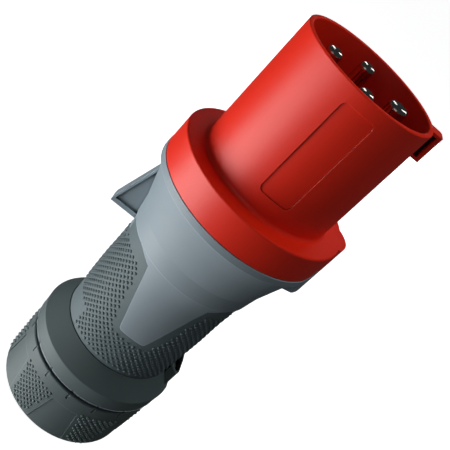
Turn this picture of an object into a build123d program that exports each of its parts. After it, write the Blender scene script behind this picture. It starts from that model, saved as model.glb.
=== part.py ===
from build123d import *
import os
from math import cos, radians, sin

# Industrial pin and sleeve plug, three phases and earth, with a twist gland.
# It stands on the rear end of its gland nut with the mouth of the sleeve up.
# +Z runs along the plug's axis to the mouth, -Y is 6 o'clock (earth pin and key), +Y is 12 o'clock.
# Lengths are in millimetres. The origin is on the axis, at the rear end of the gland nut.

# Lengths along the axis, from the rear end to the mouth
NUT_LENGTH = 35.7
NUT_GAP = 2.1
COLLAR_BAND_LENGTH = 10.0
COLLAR_CONE_LENGTH = 10.4
GRIP_LENGTH = 65.3
SHELL_LENGTH = 38.3
FLANGE_LENGTH = 15.9
SHROUD_LENGTH = 67.8

# Sleeve shroud and flange
SHROUD_DIAMETER = 71.0
SHROUD_WALL = 2.5
SHROUD_ROOT_FILLET = 1.6
RIM_FILLET = 0.6
FLANGE_RISE = 10.5
FLANGE_WALL = 3.0
FLANGE_FRONT_WALL = 3.7
FLANGE_EDGE_FILLET = 0.9
FLANGE_REAR_FILLET = 0.4

# Key rib at the mouth, 6 o'clock
KEY_WIDTH = 8.6
KEY_HEIGHT = 5.2
KEY_LENGTH = 14.5
KEY_CORNER = 1.8
KEY_SLOT_DEPTH = 3.2
KEY_SLOT_HEIGHT = 2.7
KEY_END_WALL = 1.3

# Pad along the flange and tab on the housing, 6 o'clock
PAD_WIDTH = 18.0
PAD_RISE = 3.0
PAD_FOOT_DROP = 1.0
TAB_LENGTH = 19.6
TAB_END_SLOPE = 3.0

# Bare field sunk in the shroud, 9 o'clock
FIELD_WIDTH = 16.2
FIELD_LENGTH = 51.4
FIELD_FROM_RIM = 6.6
FIELD_DEPTH = 0.6
FIELD_CORNER = 2.6

# Pins
PIN_CIRCLE_DIAMETER = 36.5
PHASE_PIN_DIAMETER = 8.0
EARTH_PIN_DIAMETER = 10.0
PIN_TIP_BELOW_RIM = 2.0
PIN_TIP_ROUND = 2.4
PIN_SHOULDER_RADIUS = 6.4
PIN_SHOULDER_LENGTH = 4.0
PIN_TAIL_WIDTH = 9.0
PIN_TAIL_THICKNESS = 3.0
PIN_TAIL_LENGTH = 24.0
PIN_FIT = 0.05
PIN_SEAT_STEP = 0.5

# Contact carrier
SLEEVE_DEPTH = 57.0
CARRIER_CLEARANCE = 0.15
CARRIER_FLANGE_THICKNESS = 6.0
CARRIER_FLANGE_GAP = 0.4
CARRIER_CORE_STEP = 2.0
CARRIER_CORE_LENGTH = 28.0
PIN_BOSS_HEIGHT = 2.0
PIN_BOSS_WALL = 2.1

# Box clamps on the pin tails
CLAMP_WIDTH = 14.0
CLAMP_DEPTH = 14.5
CLAMP_LENGTH = 11.0
CLAMP_WALL = 2.0
CLAMP_SCREW_WALL = 3.2
CLAMP_FROM_TAIL_END = 2.0
CLAMP_POCKET_CLEARANCE = 0.5
CLAMP_SCREW_DIAMETER = 6.0
CLAMP_SCREW_LENGTH = 10.0
CLAMP_SCREW_SLOT = 1.2

# Screws that hold the carrier in the shroud
CARRIER_SCREW_COUNT = 4
CARRIER_SCREW_HEAD_GAP = 0.3
CARRIER_SCREW_SHANK_SHARE = 0.65
CARRIER_SCREW_BITE = 2.6
CARRIER_SCREW_HEIGHT_SHARE = 0.42

# Rear housing
HOUSING_WALL = 3.0
LIP_PROUD = 0.25
LIP_LENGTH = 4.0
LIP_GROOVE = 0.6
LIP_GROOVE_DEPTH = 0.7
LIP_EDGE_FILLET = 0.35
SPIGOT_LENGTH = 5.5
SPIGOT_CLEARANCE = 0.2
SHELL_FRONT_STEP = 1.9
SHELL_WAIST_DIAMETER = 83.2
SHELL_WAIST_FROM_FLANGE = 12.8
SHELL_KNEE_DIAMETER = 74.4
SHELL_KNEE_FROM_FLANGE = 28.3
SHELL_REAR_STEP = 0.2
SHELL_RING_FILLET = 0.8
NECK_DIAMETER = 60.6
NECK_WALL = 3.2
NECK_REACH_IN_COLLAR = 8.0

# Seal between shroud and housing
SEAL_SECTION = 1.9
SEAL_FROM_LIP = 1.9

# Catch lug at 12 o'clock, an open box section with a centre web
LUG_WIDTH = 6.4
LUG_REACH = 49.0
LUG_TIP_LENGTH = 2.8
LUG_LENGTH = 31.5
LUG_ROOT_RADIUS = 41.0
LUG_FROM_FLANGE = 11.8
LUG_BACK_WALL = 2.5
LUG_RAMP_WALL = 1.2
LUG_WEB = 3.6
LUG_SEAT_WIDTH = 13.0
LUG_SEAT_BELOW = 4.0

# Grip sleeve over the neck and the smooth tongues on each flank
GRIP_TOP_DIAMETER = 71.0
GRIP_SHOULDER_DIAMETER = 67.4
GRIP_SHOULDER_DROP = 10.0
GRIP_MIDDLE_DIAMETER = 66.2
GRIP_MIDDLE_DROP = 33.0
GRIP_LOWER_DIAMETER = 64.8
GRIP_LOWER_DROP = 49.5
GRIP_FOOT_DIAMETER = 63.6
GRIP_FIT = 0.05
TONGUE_TOP_HALF_WIDTH = 17.8
TONGUE_FOOT_HALF_WIDTH = 7.5
TONGUE_LENGTH = 37.3
TONGUE_SHOULDER_DROP = 3.7
TONGUE_EAR_HALF_WIDTH = 27.0
TONGUE_CORNER = 1.8
TONGUE_FIT = 0.05

# Gland collar
COLLAR_EDGE_RISE = 0.9
COLLAR_FOOT_RISE = 0.2
COLLAR_TOP_STEP = 0.5
COLLAR_FIT = 0.05
COLLAR_FOOT_FILLET = 1.2
COLLAR_EDGE_FILLET = 0.6
STUB_DIAMETER = 68.4
STUB_LENGTH = 25.0
STUB_BORE_DIAMETER = 59.2

# Ratchet marks round the collar foot and the nut rim
MARK_COUNT = 16
MARK_PHASE = -4.4
MARK_WIDTH = 1.1
MARK_DEPTH = 0.5
COLLAR_MARK_LENGTH = 2.0
NUT_MARK_LENGTH = 4.1

# Nut lock slider and its guide on the collar, 6 o'clock
GUIDE_WIDTH = 16.0
GUIDE_RISE = 6.4
GUIDE_SHOULDER_DROP = 4.0
GUIDE_REACH = 37.6
GUIDE_SEAT = 34.7
GUIDE_GRIP_GAP = 0.3
GUIDE_EDGE_FILLET = 0.6
SLIDER_WIDTH = 9.6
SLIDER_FOOT_WIDTH = 12.6
SLIDER_FOOT_THICKNESS = 1.5
SLIDER_FACE_DROP = 0.2
SLIDER_PROUD = 0.9
SLIDER_RISE = 11.9
SLIDER_RAMP_LENGTH = 9.3
SLIDER_THUMB_LENGTH = 2.6
SLIDER_CLEARANCE = 0.3
SLIDER_TRAVEL = 3.0
SLIDER_TOOTH_WIDTH = 0.5
SLIDER_TOOTH_THICKNESS = 1.2
SLIDER_TOOTH_GAP = 1.0

# Gland nut
NUT_TOP_DIAMETER = 78.6
NUT_END_DIAMETER = 76.4
NUT_END_FILLET = 4.2
NUT_TOP_CHAMFER = 0.5
NUT_RIM_WALL = 1.9
NUT_RIM_DEPTH = 3.0
NUT_THREAD_CLEARANCE = 0.3
NUT_END_WALL = 6.5
NUT_MOUTH_DIAMETER = 40.0
NUT_MOUTH_CHAMFER = 2.0
PANEL_COUNT = 6
PANEL_TOP_ANGLE = 22.0
PANEL_END_ANGLE = 34.0
PANEL_DEPTH = 0.5
PANEL_FROM_TOP = 9.9
NUT_TRAVEL = 6.0

# Slip ring, clamping cage and rubber seal inside the gland
SLIP_RING_THICKNESS = 4.0
SLIP_RING_BORE_DIAMETER = 42.0
SLIP_RING_CLEARANCE = 0.3
CAGE_CLEARANCE = 0.2
CAGE_WALL = 4.6
CAGE_RING_LENGTH = 9.0
CAGE_LENGTH = 26.5
CAGE_FINGERS = 12
CAGE_SLOT = 2.0
CAGE_TIP_CHAMFER = 2.4
GLAND_SEAL_BORE = 28.0
GLAND_SEAL_LENGTH = 24.0
GLAND_SEAL_CLEARANCE = 0.1
GLAND_SEAL_GROOVES = 3
GLAND_SEAL_GROOVE = 1.5

# Levels along the axis
Z_NUT_TOP = NUT_LENGTH
Z_COLLAR_FOOT = Z_NUT_TOP + NUT_GAP
Z_COLLAR_EDGE = Z_COLLAR_FOOT + COLLAR_BAND_LENGTH
Z_GRIP_FOOT = Z_COLLAR_EDGE + COLLAR_CONE_LENGTH
Z_GRIP_TOP = Z_GRIP_FOOT + GRIP_LENGTH
Z_FLANGE_REAR = Z_GRIP_TOP + SHELL_LENGTH
Z_FLANGE_FRONT = Z_FLANGE_REAR + FLANGE_LENGTH
Z_RIM = Z_FLANGE_FRONT + SHROUD_LENGTH
Z_FLANGE_INNER = Z_FLANGE_FRONT - FLANGE_FRONT_WALL
Z_CARRIER_FACE = Z_RIM - SLEEVE_DEPTH
Z_CARRIER_REAR = Z_FLANGE_INNER - CARRIER_FLANGE_THICKNESS
Z_CORE_REAR = Z_CARRIER_REAR - CARRIER_CORE_LENGTH
Z_PIN_TIP = Z_RIM - PIN_TIP_BELOW_RIM
Z_TAIL_TOP = Z_CARRIER_REAR + PIN_SHOULDER_LENGTH
Z_TAIL_END = Z_TAIL_TOP - PIN_SHOULDER_LENGTH - PIN_TAIL_LENGTH
Z_NECK_END = Z_COLLAR_EDGE - NECK_REACH_IN_COLLAR

# Radii that several pieces share
SHROUD_RADIUS = SHROUD_DIAMETER / 2
SHROUD_BORE = SHROUD_RADIUS - SHROUD_WALL
FLANGE_RADIUS = SHROUD_RADIUS + FLANGE_RISE
SKIRT_BORE = FLANGE_RADIUS - FLANGE_WALL
LIP_RADIUS = FLANGE_RADIUS + LIP_PROUD
SPIGOT_RADIUS = SKIRT_BORE - SPIGOT_CLEARANCE
SPIGOT_BORE = SPIGOT_RADIUS - HOUSING_WALL
CARRIER_CORE_RADIUS = SHROUD_BORE - CARRIER_CORE_STEP
CARRIER_SCREW_CIRCLE = SHROUD_BORE + SPIGOT_BORE
CARRIER_SCREW_HEAD = SPIGOT_BORE - SHROUD_BORE - 2 * CARRIER_SCREW_HEAD_GAP
CARRIER_SCREW_DIAMETER = CARRIER_SCREW_SHANK_SHARE * CARRIER_SCREW_HEAD
CARRIER_SCREW_HEAD_HEIGHT = CARRIER_SCREW_HEIGHT_SHARE * CARRIER_SCREW_HEAD
NECK_RADIUS = NECK_DIAMETER / 2
NECK_BORE = NECK_RADIUS - NECK_WALL
SHELL_REAR_RADIUS = GRIP_TOP_DIAMETER / 2 + SHELL_REAR_STEP
NUT_TOP_RADIUS = NUT_TOP_DIAMETER / 2
COLLAR_EDGE = NUT_TOP_RADIUS + COLLAR_EDGE_RISE
COLLAR_FOOT = NUT_TOP_RADIUS + COLLAR_FOOT_RISE
SLIDER_REACH = GUIDE_REACH + SLIDER_PROUD
STUB_RADIUS = STUB_DIAMETER / 2
STUB_BORE = STUB_BORE_DIAMETER / 2
NUT_BORE = STUB_RADIUS + NUT_THREAD_CLEARANCE
PIN_CIRCLE = PIN_CIRCLE_DIAMETER / 2
PIN_ANGLES = {"earth_pin": -90, "phase_pin_l1": 180, "phase_pin_l2": 90, "phase_pin_l3": 0}

# How far cutters run past the faces that they cut
PAST = 1.0

# Where the closing seam of every turned face lies, clear of the features at the quarters
SEAM_ANGLE = 33.0


def turned(points, rounds=()):
    """Solid of revolution from (radius, height) corners, with (radius, height, fillet) rounds."""
    face = make_face(Polyline(*points, close=True))
    for x, y, radius in rounds:
        corner = face.vertices().sort_by_distance((x, y, 0))[0]
        face = fillet(corner, radius)
    return Rot(0, 0, SEAM_ANGLE) * revolve(Plane.XZ * face, Axis.Z)


def ring(inner, outer, low, high):
    """Plain ring from its two radii and its two levels."""
    return turned([(inner, low), (outer, low), (outer, high), (inner, high)])


def block(x0, x1, y0, y1, z0, z1):
    """Box from its limits on each axis."""
    box = Box(x1 - x0, y1 - y0, z1 - z0)
    return Pos((x0 + x1) / 2, (y0 + y1) / 2, (z0 + z1) / 2) * box


def prism_along_x(points, half_width, rounds=()):
    """Prism with a (y, z) outline, as wide each way along X as half_width."""
    face = make_face(Polyline(*points, close=True))
    for y, z, radius in rounds:
        corner = face.vertices().sort_by_distance((y, z, 0))[0]
        face = fillet(corner, radius)
    return extrude(Plane.YZ * face, amount=half_width, both=True)


def around(shape, count, start=0.0):
    """The shape repeated evenly round the axis."""
    return [Rot(0, 0, start + index * 360 / count) * shape for index in range(count)]


# Sleeve shroud: tube, flange with a hollow skirt, key rib, pad and sunk field
def pad(low, high, inner):
    """Arched pad at 6 o'clock between two levels, rooted at an inner radius."""
    half = PAD_WIDTH / 2
    foot = FLANGE_RADIUS - PAD_FOOT_DROP
    crown = ThreePointArc((half, -foot), (0, -FLANGE_RADIUS - PAD_RISE), (-half, -foot))
    sides = Polyline((-half, -foot), (-half, -inner), (half, -inner), (half, -foot))
    return Pos(0, 0, low) * extrude(make_face(crown + sides), amount=high - low)


def key_rib():
    """Hollow rib at the mouth, open on its two sides, with a centre web."""
    half = KEY_WIDTH / 2
    top = SHROUD_RADIUS + KEY_HEIGHT
    low = Z_RIM - KEY_LENGTH
    face = make_face(Polyline((half, -top), (-half, -top), (-half, -SHROUD_BORE), (half, -SHROUD_BORE), close=True))
    face -= Circle(SHROUD_RADIUS - SHROUD_WALL / 2)
    face = fillet(face.vertices().sort_by(Axis.Y)[:2], KEY_CORNER)
    rib = Pos(0, 0, low) * extrude(face, amount=KEY_LENGTH)
    slot_low = -(SHROUD_RADIUS + KEY_SLOT_HEIGHT)
    for side in (-1, 1):
        outer = side * (half + PAST)
        inner = side * (half - KEY_SLOT_DEPTH)
        slot = block(min(outer, inner), max(outer, inner), slot_low, -SHROUD_BORE, low + KEY_END_WALL, Z_RIM - KEY_END_WALL)
        slot -= Pos(0, 0, low) * Cylinder(SHROUD_RADIUS, 2 * KEY_LENGTH, align=(Align.CENTER, Align.CENTER, Align.MIN))
        rib -= slot
    return rib


def sunk_field():
    """Cutter for the rounded field in the shroud wall at 9 o'clock."""
    centre = Z_RIM - FIELD_FROM_RIM - FIELD_LENGTH / 2
    outline = RectangleRounded(FIELD_WIDTH, FIELD_LENGTH, FIELD_CORNER)
    prism = extrude(Plane((0, 0, centre), x_dir=(0, 1, 0), z_dir=(-1, 0, 0)) * outline, amount=SHROUD_RADIUS + PAST)
    low = centre - FIELD_LENGTH
    return prism & ring(SHROUD_RADIUS - FIELD_DEPTH, SHROUD_RADIUS + PAST, low, low + 2 * FIELD_LENGTH)


def carrier_screw_hole(low, high):
    """Cutters for the screws that hold the carrier."""
    hole = Cylinder(CARRIER_SCREW_DIAMETER / 2, high - low, align=(Align.CENTER, Align.CENTER, Align.MIN))
    return around(Pos(CARRIER_SCREW_CIRCLE / 2, 0, low) * hole, CARRIER_SCREW_COUNT, 360 / CARRIER_SCREW_COUNT / 2)


def make_shroud():
    outline = [
        (SHROUD_BORE, Z_FLANGE_INNER),
        (SKIRT_BORE, Z_FLANGE_INNER),
        (SKIRT_BORE, Z_FLANGE_REAR),
        (FLANGE_RADIUS, Z_FLANGE_REAR),
        (FLANGE_RADIUS, Z_FLANGE_FRONT),
        (SHROUD_RADIUS, Z_FLANGE_FRONT),
        (SHROUD_RADIUS, Z_RIM),
        (SHROUD_BORE, Z_RIM),
    ]
    rounds = [
        (FLANGE_RADIUS, Z_FLANGE_FRONT, FLANGE_EDGE_FILLET),
        (FLANGE_RADIUS, Z_FLANGE_REAR, FLANGE_REAR_FILLET),
        (SHROUD_RADIUS, Z_FLANGE_FRONT, SHROUD_ROOT_FILLET),
        (SHROUD_RADIUS, Z_RIM, RIM_FILLET),
        (SHROUD_BORE, Z_RIM, RIM_FILLET),
    ]
    shroud = turned(outline, rounds)
    flange_pad = pad(Z_FLANGE_REAR, Z_FLANGE_FRONT, SKIRT_BORE + FLANGE_WALL / 2)
    shroud += flange_pad
    shroud += key_rib()
    shroud -= sunk_field()
    shroud -= carrier_screw_hole(Z_FLANGE_INNER, Z_FLANGE_INNER + CARRIER_SCREW_BITE)
    return shroud


# Contact carrier: front disc, seating flange and a core with a pocket for each clamp
def pin_diameter(name):
    return EARTH_PIN_DIAMETER if name == "earth_pin" else PHASE_PIN_DIAMETER


def at_pin(name, shape):
    """Turn a shape made at the pin place on +X to the pin's own place."""
    return Rot(0, 0, PIN_ANGLES[name]) * shape


def clamp_limits():
    """Radial and axial limits of a box clamp whose screw presses on the pin tail."""
    inner = PIN_CIRCLE + PIN_TAIL_THICKNESS / 2 + CLAMP_SCREW_WALL - CLAMP_DEPTH
    low = Z_TAIL_END + CLAMP_FROM_TAIL_END
    return inner, inner + CLAMP_DEPTH, low, low + CLAMP_LENGTH


def make_carrier():
    disc_radius = SHROUD_BORE - CARRIER_CLEARANCE
    flange_radius = SKIRT_BORE - CARRIER_FLANGE_GAP
    carrier = turned([
        (0, Z_CORE_REAR),
        (CARRIER_CORE_RADIUS, Z_CORE_REAR),
        (CARRIER_CORE_RADIUS, Z_CARRIER_REAR),
        (flange_radius, Z_CARRIER_REAR),
        (flange_radius, Z_FLANGE_INNER),
        (disc_radius, Z_FLANGE_INNER),
        (disc_radius, Z_CARRIER_FACE),
        (0, Z_CARRIER_FACE),
    ])
    inner, outer, low, high = clamp_limits()
    gap = CLAMP_POCKET_CLEARANCE
    half = CLAMP_WIDTH / 2 + gap
    for name in PIN_ANGLES:
        radius = pin_diameter(name) / 2
        seat = radius + PIN_SEAT_STEP
        boss = Pos(PIN_CIRCLE, 0, Z_CARRIER_FACE) * Cylinder(
            seat + PIN_BOSS_WALL, PIN_BOSS_HEIGHT, align=(Align.CENTER, Align.CENTER, Align.MIN))
        shank = Pos(PIN_CIRCLE, 0, Z_CARRIER_REAR) * Cylinder(
            seat + PIN_FIT, SHROUD_LENGTH, align=(Align.CENTER, Align.CENTER, Align.MIN))
        shoulder = Pos(PIN_CIRCLE, 0, Z_CARRIER_REAR) * Cylinder(
            PIN_SHOULDER_RADIUS + PIN_FIT, PIN_SHOULDER_LENGTH, align=(Align.CENTER, Align.CENTER, Align.MIN))
        pocket = block(inner - gap, CARRIER_CORE_RADIUS + PAST, -half, half, Z_CORE_REAR - PAST, Z_CARRIER_REAR)
        carrier += at_pin(name, boss)
        carrier -= at_pin(name, shank + shoulder + pocket)
    carrier -= carrier_screw_hole(Z_CARRIER_REAR, Z_FLANGE_INNER)
    return carrier


# Pins: turned shank and shoulder, flat tail for the clamp
def make_pin(name):
    radius = pin_diameter(name) / 2
    seat = radius + PIN_SEAT_STEP
    seat_top = Z_CARRIER_FACE + PIN_BOSS_HEIGHT
    shank = turned([
        (0, Z_CARRIER_REAR),
        (PIN_SHOULDER_RADIUS, Z_CARRIER_REAR),
        (PIN_SHOULDER_RADIUS, Z_TAIL_TOP),
        (seat, Z_TAIL_TOP),
        (seat, seat_top),
        (radius, seat_top),
        (radius, Z_PIN_TIP),
        (0, Z_PIN_TIP),
    ], [(radius, Z_PIN_TIP, PIN_TIP_ROUND)])
    tail = block(-PIN_TAIL_THICKNESS / 2, PIN_TAIL_THICKNESS / 2, -PIN_TAIL_WIDTH / 2, PIN_TAIL_WIDTH / 2,
                 Z_TAIL_END, Z_CARRIER_REAR)
    return at_pin(name, Pos(PIN_CIRCLE, 0, 0) * (shank + tail))


def make_clamp(name):
    """Box clamp round the pin tail, with a threaded hole for its screw."""
    inner, outer, low, high = clamp_limits()
    half = CLAMP_WIDTH / 2
    clamp = block(inner, outer, -half, half, low, high)
    clamp = fillet(clamp.edges().filter_by(Axis.Z), CLAMP_WALL / 2)
    clamp -= block(inner + CLAMP_WALL, outer - CLAMP_SCREW_WALL, CLAMP_WALL - half, half - CLAMP_WALL, low - PAST, high + PAST)
    middle = (low + high) / 2
    clamp -= Pos(outer, 0, middle) * Rot(0, 90, 0) * Cylinder(CLAMP_SCREW_DIAMETER / 2 + PIN_FIT, 2 * CLAMP_SCREW_WALL)
    return at_pin(name, clamp)


def make_clamp_screws():
    """One slotted screw for each clamp, its end on the pin tail."""
    inner, outer, low, high = clamp_limits()
    middle = (low + high) / 2
    start = PIN_CIRCLE + PIN_TAIL_THICKNESS / 2
    radius = CLAMP_SCREW_DIAMETER / 2
    screw = Cylinder(radius, CLAMP_SCREW_LENGTH, align=(Align.CENTER, Align.CENTER, Align.MIN))
    slot = Pos(0, 0, CLAMP_SCREW_LENGTH) * Box(CLAMP_SCREW_DIAMETER + PAST, CLAMP_SCREW_SLOT, CLAMP_SCREW_DIAMETER / 2)
    screw = Pos(start, 0, middle) * Rot(0, 90, 0) * (screw - slot)
    return Compound([at_pin(name, screw) for name in PIN_ANGLES])


def make_carrier_screws():
    head_low = Z_CARRIER_REAR - CARRIER_SCREW_HEAD_HEIGHT
    radius = CARRIER_SCREW_DIAMETER / 2 - PIN_FIT
    screw = turned([
        (0, head_low),
        (CARRIER_SCREW_HEAD / 2, head_low),
        (CARRIER_SCREW_HEAD / 2, Z_CARRIER_REAR),
        (radius, Z_CARRIER_REAR),
        (radius, Z_FLANGE_INNER + CARRIER_SCREW_BITE - PIN_FIT),
        (0, Z_FLANGE_INNER + CARRIER_SCREW_BITE - PIN_FIT),
    ], [(CARRIER_SCREW_HEAD / 2, head_low, CARRIER_SCREW_HEAD_HEIGHT / 3)])
    screw -= Pos(0, 0, head_low) * Box(CARRIER_SCREW_HEAD + PAST, CLAMP_SCREW_SLOT, CARRIER_SCREW_HEAD_HEIGHT)
    half_step = 360 / CARRIER_SCREW_COUNT / 2
    return Compound(around(Pos(CARRIER_SCREW_CIRCLE / 2, 0, 0) * screw, CARRIER_SCREW_COUNT, half_step))


# Rear housing: lip, spigot, waisted shell, neck, catch lug, tab and tongues
def shell_outline():
    """Outer line of the shell between the grip and the lip, from rear to front."""
    return [
        (SHELL_REAR_RADIUS, Z_GRIP_TOP),
        (SHELL_KNEE_DIAMETER / 2, Z_FLANGE_REAR - SHELL_KNEE_FROM_FLANGE),
        (SHELL_WAIST_DIAMETER / 2, Z_FLANGE_REAR - SHELL_WAIST_FROM_FLANGE),
        (LIP_RADIUS - SHELL_FRONT_STEP, Z_FLANGE_REAR - LIP_LENGTH - LIP_GROOVE),
    ]


def grip_outline():
    """Outer line of the grip from its foot to its top, shared with the tongues."""
    return [
        (GRIP_FOOT_DIAMETER / 2, Z_GRIP_FOOT),
        (GRIP_LOWER_DIAMETER / 2, Z_GRIP_TOP - GRIP_LOWER_DROP),
        (GRIP_MIDDLE_DIAMETER / 2, Z_GRIP_TOP - GRIP_MIDDLE_DROP),
        (GRIP_SHOULDER_DIAMETER / 2, Z_GRIP_TOP - GRIP_SHOULDER_DROP),
        (GRIP_TOP_DIAMETER / 2, Z_GRIP_TOP),
    ]


def grip_band(inner):
    """Revolved band between an inner radius and the smooth outer line of the grip."""
    points = grip_outline()
    outer = Spline(*points)
    sides = Polyline(points[-1], (inner, Z_GRIP_TOP), (inner, Z_GRIP_FOOT), points[0])
    return Rot(0, 0, SEAM_ANGLE) * revolve(Plane.XZ * make_face(outer + sides), Axis.Z)


def tongue_prism(clearance):
    """Outline of both tongues seen from the flank, cut through the band."""
    foot = Z_GRIP_TOP - TONGUE_SHOULDER_DROP - TONGUE_LENGTH - clearance
    shoulder = Z_GRIP_TOP - TONGUE_SHOULDER_DROP
    half_foot = TONGUE_FOOT_HALF_WIDTH + clearance
    half_top = TONGUE_TOP_HALF_WIDTH + clearance
    ear = TONGUE_EAR_HALF_WIDTH + clearance
    top = Z_GRIP_TOP + PAST
    points = [(-half_foot, foot), (half_foot, foot), (half_top, shoulder), (ear, Z_GRIP_TOP - clearance),
              (ear, top), (-ear, top), (-ear, Z_GRIP_TOP - clearance), (-half_top, shoulder)]
    rounds = [(-half_foot, foot, TONGUE_CORNER), (half_foot, foot, TONGUE_CORNER)]
    return prism_along_x(points, FLANGE_RADIUS, rounds)


def lug_seat(clearance):
    """Block that carries the housing surface down behind the lug."""
    half = LUG_SEAT_WIDTH / 2 + clearance
    low = lug_back() - LUG_SEAT_BELOW - clearance
    return block(-half, half, 0, FLANGE_RADIUS, low, Z_GRIP_TOP + PAST)


def lug_back():
    return Z_FLANGE_REAR - LUG_FROM_FLANGE - LUG_LENGTH


def make_lug():
    """Catch lug: ramp plate, back plate and a centre web, rooted in the shell."""
    back = lug_back()
    front = back + LUG_LENGTH
    root = NECK_BORE
    slope = (LUG_REACH - LUG_ROOT_RADIUS) / (LUG_LENGTH - LUG_TIP_LENGTH)
    lug = prism_along_x([(root, back), (LUG_REACH, back), (LUG_REACH, back + LUG_TIP_LENGTH),
                         (LUG_ROOT_RADIUS, front), (root, front)], LUG_WIDTH / 2)
    low = back + LUG_BACK_WALL
    top_low = LUG_REACH - LUG_RAMP_WALL - slope * (low - back - LUG_TIP_LENGTH)
    top_high = LUG_ROOT_RADIUS - LUG_RAMP_WALL
    pocket = prism_along_x([(root - PAST, low), (min(top_low, LUG_REACH - LUG_RAMP_WALL), low),
                            (top_high, front), (root - PAST, front)], LUG_WIDTH)
    return lug - (pocket - block(-LUG_WEB / 2, LUG_WEB / 2, 0, 2 * LUG_REACH, back, front))


def housing_hollow(shell, spigot_top, lip_low):
    """Wiring space of the housing, from the spigot to the end of the neck."""
    inner = [(radius - HOUSING_WALL, level) for radius, level in shell[1:-1]]
    step = [(NECK_BORE, Z_GRIP_TOP), (shell[0][0] - HOUSING_WALL, Z_GRIP_TOP + HOUSING_WALL)]
    return turned([(0, Z_NECK_END - PAST), (NECK_BORE, Z_NECK_END - PAST)] + step + inner
                  + [(SPIGOT_BORE, lip_low), (SPIGOT_BORE, spigot_top + PAST), (0, spigot_top + PAST)])


def tab():
    """Tab on the housing in line with the pad, its rear end sloped."""
    low = Z_FLANGE_REAR - TAB_LENGTH
    inner = SHELL_KNEE_DIAMETER / 2
    outer = FLANGE_RADIUS + PAD_RISE
    past = TAB_END_SLOPE * PAST / (outer - inner)
    slope = prism_along_x([(-inner, low), (-outer - PAST, low + TAB_END_SLOPE + past), (-outer - PAST, low - PAST),
                           (-inner, low - PAST)], PAD_WIDTH)
    return pad(low, Z_FLANGE_REAR, NECK_RADIUS) - slope


def make_housing():
    shell = shell_outline()
    spigot_top = Z_FLANGE_REAR + SPIGOT_LENGTH
    lip_low = Z_FLANGE_REAR - LIP_LENGTH
    outer = [(0, Z_NECK_END), (NECK_RADIUS, Z_NECK_END), (NECK_RADIUS, Z_GRIP_TOP)] + shell
    groove = shell[-1][0] - LIP_GROOVE_DEPTH
    outer += [(groove, shell[-1][1]), (groove, lip_low), (LIP_RADIUS, lip_low), (LIP_RADIUS, Z_FLANGE_REAR),
              (SPIGOT_RADIUS, Z_FLANGE_REAR), (SPIGOT_RADIUS, spigot_top), (0, spigot_top)]
    rounds = [(radius, level, SHELL_RING_FILLET) for radius, level in shell[1:3]]
    rounds += [(LIP_RADIUS, lip_low, LIP_EDGE_FILLET), (LIP_RADIUS, Z_FLANGE_REAR, LIP_EDGE_FILLET)]
    housing = turned(outer, rounds)
    band = grip_band(NECK_BORE)
    housing += band & tongue_prism(0)
    housing += band & lug_seat(0)
    housing += make_lug()
    housing += tab()
    housing -= housing_hollow(shell, spigot_top, lip_low)
    seal_low = Z_FLANGE_REAR + SEAL_FROM_LIP
    housing -= ring(SKIRT_BORE - SEAL_SECTION, SPIGOT_RADIUS + PAST, seal_low, seal_low + SEAL_SECTION)
    return housing


def make_front_seal():
    low = Z_FLANGE_REAR + SEAL_FROM_LIP
    outer = SKIRT_BORE
    inner = outer - SEAL_SECTION
    corner = SEAL_SECTION / 3
    rounds = [(outer, low, corner), (outer, low + SEAL_SECTION, corner)]
    return turned([(inner, low), (outer, low), (outer, low + SEAL_SECTION), (inner, low + SEAL_SECTION)], rounds)


def make_grip():
    grip = grip_band(NECK_RADIUS + GRIP_FIT)
    grip -= tongue_prism(TONGUE_FIT)
    grip -= lug_seat(TONGUE_FIT)
    return grip


# Gland collar: cone, band with marks, threaded stub and the guide of the nut lock
def collar_top_radius():
    return GRIP_FOOT_DIAMETER / 2 + COLLAR_TOP_STEP


def marks(radius, low, length):
    """Cutters for the short ratchet marks at one level."""
    mark = block(radius - MARK_DEPTH, radius + PAST, -MARK_WIDTH / 2, MARK_WIDTH / 2, low, low + length)
    return around(mark, MARK_COUNT, -90 + MARK_PHASE)


def make_collar():
    top = collar_top_radius()
    edge = COLLAR_EDGE
    foot = COLLAR_FOOT
    stub_low = Z_COLLAR_FOOT - STUB_LENGTH
    neck_seat = NECK_RADIUS + COLLAR_FIT
    collar = turned([
        (STUB_BORE, stub_low),
        (STUB_RADIUS, stub_low),
        (STUB_RADIUS, Z_COLLAR_FOOT),
        (foot, Z_COLLAR_FOOT),
        (edge, Z_COLLAR_EDGE),
        (top, Z_GRIP_FOOT),
        (neck_seat, Z_GRIP_FOOT),
        (neck_seat, Z_NECK_END),
        (STUB_BORE, Z_NECK_END),
    ], [(edge, Z_COLLAR_EDGE, COLLAR_EDGE_FILLET), (foot, Z_COLLAR_FOOT, COLLAR_FOOT_FILLET)])
    collar += make_guide()
    collar -= marks(foot, Z_COLLAR_FOOT - PAST, COLLAR_MARK_LENGTH + PAST)
    collar -= slider_channel()
    return collar


def guide_grip_side():
    return GRIP_FOOT_DIAMETER / 2 + GUIDE_GRIP_GAP


def guide_top(reach):
    """Level of the sloped top of the guide at a distance from the axis."""
    share = (reach - guide_grip_side()) / (GUIDE_REACH - guide_grip_side())
    return Z_GRIP_FOOT + GUIDE_RISE - share * GUIDE_SHOULDER_DROP


def make_guide():
    """Upright block on the cone that guides the slider, with a sloped top."""
    grip_side = guide_grip_side()
    guide = prism_along_x([
        (-GUIDE_REACH, Z_COLLAR_EDGE),
        (-grip_side, Z_COLLAR_EDGE),
        (-grip_side, guide_top(grip_side)),
        (-GUIDE_REACH, guide_top(GUIDE_REACH)),
    ], GUIDE_WIDTH / 2, [(-GUIDE_REACH, guide_top(GUIDE_REACH), GUIDE_EDGE_FILLET)])
    return fillet(guide.edges().filter_by(Axis.Z).sort_by(Axis.Y)[:2], GUIDE_EDGE_FILLET)


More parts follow.
